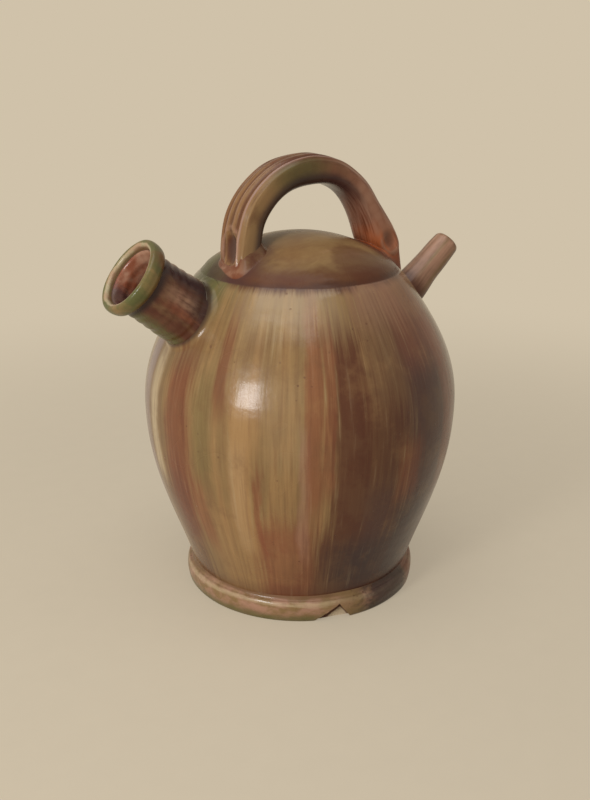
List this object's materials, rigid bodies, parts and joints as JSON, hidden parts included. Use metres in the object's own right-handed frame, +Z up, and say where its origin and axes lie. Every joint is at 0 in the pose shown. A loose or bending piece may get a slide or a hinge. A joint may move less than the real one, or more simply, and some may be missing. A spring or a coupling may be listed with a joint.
{
  "type": "cider jug",
  "caption": "Glazed clay cider jug with a closed domed top, a wide tilted filler neck, a narrow pouring spout opposite and a ribbed strap handle arched over the top.",
  "frame": {"origin": "centre of the flat underside of the body, on the axis of the belly", "axes": "+Z up along the axis of the belly; the filler neck points toward -X and the pouring spout toward +X; the handle stands in the XZ plane"},
  "size_m": [0.2629, 0.21, 0.2915],
  "materials": {
    "body_glaze": "streaked olive and red-brown glaze, glossy",
    "dome_glaze": "olive-brown glaze, glossy",
    "foot_glaze": "thin tan glaze over pinkish clay",
    "neck_glaze": "dark brown glaze, glossy",
    "collar_glaze": "olive glaze worn pale on the lip",
    "coil_slip": "olive glaze pooled over slip",
    "spout_glaze": "pinkish tan glaze, glossy",
    "handle_glaze": "brown glaze, thin on the ribs",
    "pad_glaze": "olive-brown glaze, glossy"
  },
  "bodies": {
    "root": {"body": "body_glaze", "closing_dome": "dome_glaze", "foot_ring": "foot_glaze", "filler_neck": "neck_glaze", "mouth_collar": "collar_glaze", "neck_joint_coil": "coil_slip", "pouring_spout": "spout_glaze", "spout_joint_coil": "coil_slip", "carrying_handle": "handle_glaze", "front_handle_pad": "pad_glaze", "rear_handle_pad": "pad_glaze"}
  },
  "joints": []
}
